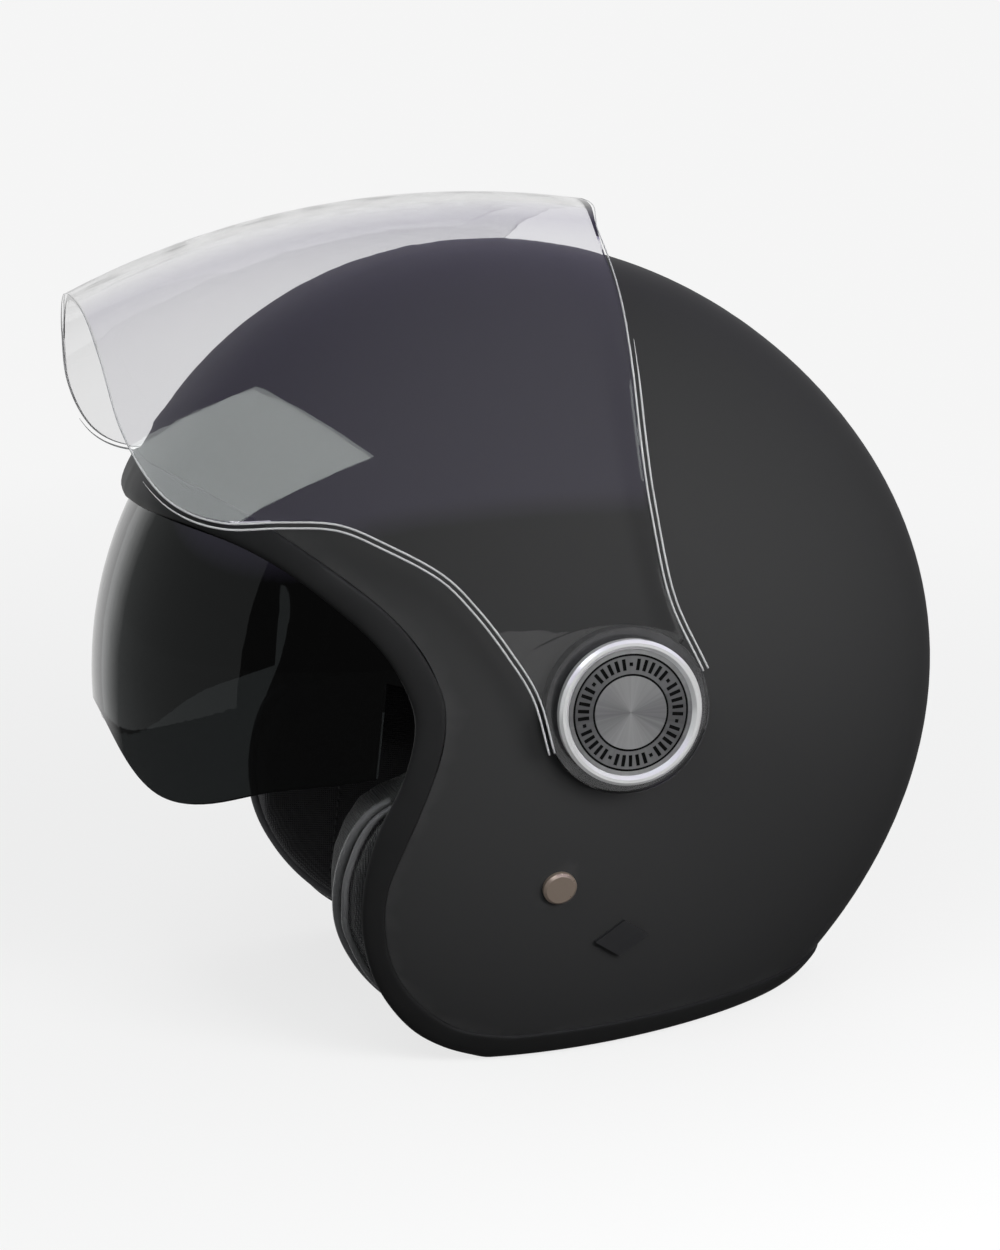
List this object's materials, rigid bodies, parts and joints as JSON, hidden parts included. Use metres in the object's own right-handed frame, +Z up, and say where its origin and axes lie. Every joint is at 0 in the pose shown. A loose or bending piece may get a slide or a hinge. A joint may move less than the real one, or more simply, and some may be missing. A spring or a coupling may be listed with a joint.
{
  "type": "open face motorcycle helmet",
  "caption": "Open face motorcycle helmet with a lifting clear face shield, a drop-down smoked sun lens, padded lining and a buckled chin strap.",
  "frame": {"origin": "middle of the bounding box, on the surface that the helmet stands on", "axes": "+Z up, the helmet's front towards -Y, the wearer's left towards +X, the shield's pivot axis along X"},
  "size_m": [0.2692, 0.3138, 0.293],
  "materials": {
    "shell_lacquer": "matte black lacquer over a moulded shell",
    "edge_rubber": "soft black edge trim",
    "eps_foam": "black expanded polystyrene beads",
    "liner_fabric": "brushed knit over thin foam",
    "cheek_fabric": "padded knit with leatherette piping",
    "leatherette": "grained black leatherette",
    "webbing": "woven polyester webbing",
    "buckle_plastic": "moulded nylon",
    "buckle_steel": "pressed steel, satin",
    "clear_shield": "clear hard-coated polycarbonate",
    "smoked_lens": "dark smoked polycarbonate",
    "hinge_plastic": "black moulded acetal",
    "cap_bezel": "polished bevelled ring",
    "cap_face": "spun, with engraved rings and marks",
    "rivet_nickel": "warm dull nickel",
    "fittings_steel": "zinc plated",
    "badge_metal": "darkened satin, plain"
  },
  "bodies": {
    "helmet": {"outer_shell": "shell_lacquer", "edge_trim": "edge_rubber", "foam_crown": "eps_foam", "comfort_liner": "liner_fabric", "brow_pad": "liner_fabric", "neck_roll": "leatherette", "strap_left": "webbing", "strap_right": "webbing", "strap_sleeve": "leatherette", "buckle_body": "buckle_plastic", "buckle_pin": "fittings_steel", "buckle_tongue": "buckle_plastic", "foam_cheek_left": "eps_foam", "foam_cheek_right": "eps_foam", "cheek_pad_left": "cheek_fabric", "cheek_pad_right": "cheek_fabric", "rim_lining_left": "leatherette", "rim_lining_right": "leatherette", "pivot_base_left": "hinge_plastic", "pivot_base_right": "hinge_plastic", "pivot_screw_left": "fittings_steel", "pivot_screw_right": "fittings_steel", "pivot_nut_left": "fittings_steel", "pivot_nut_right": "fittings_steel", "cap_ring_left": "cap_bezel", "cap_ring_right": "cap_bezel", "cap_disc_left": "cap_face", "cap_disc_right": "cap_face", "lens_plate_left": "hinge_plastic", "lens_plate_right": "hinge_plastic", "lens_pin_left": "fittings_steel", "lens_pin_right": "fittings_steel", "strap_rivet_left": "rivet_nickel", "strap_rivet_right": "rivet_nickel", "rivet_washer_left": "fittings_steel", "rivet_washer_right": "fittings_steel", "side_badge_left": "badge_metal", "side_badge_right": "badge_metal"},
    "shield": {"face_shield": "clear_shield"},
    "lens": {"sun_lens": "smoked_lens"},
    "lever": {"buckle_lever": "buckle_steel"}
  },
  "joints": [
    {"name": "shield_hinge", "type": "hinge", "parent": "helmet", "child": "shield", "pos_m": [0, 0.0059, 0.13], "axis": [1, 0, 0], "range_deg": [0, 72]},
    {"name": "lens_hinge", "type": "hinge", "parent": "helmet", "child": "lens", "pos_m": [0, -0.0081, 0.1215], "axis": [1, 0, 0], "range_deg": [-45, 0]},
    {"name": "buckle_lever_hinge", "type": "hinge", "parent": "helmet", "child": "lever", "pos_m": [-0.052, -0.0131, 0.0074], "axis": [0, -1, 0], "range_deg": [0, 35], "stiffness_Nm_per_rad": 0.02, "springref_deg": -17.19}
  ]
}
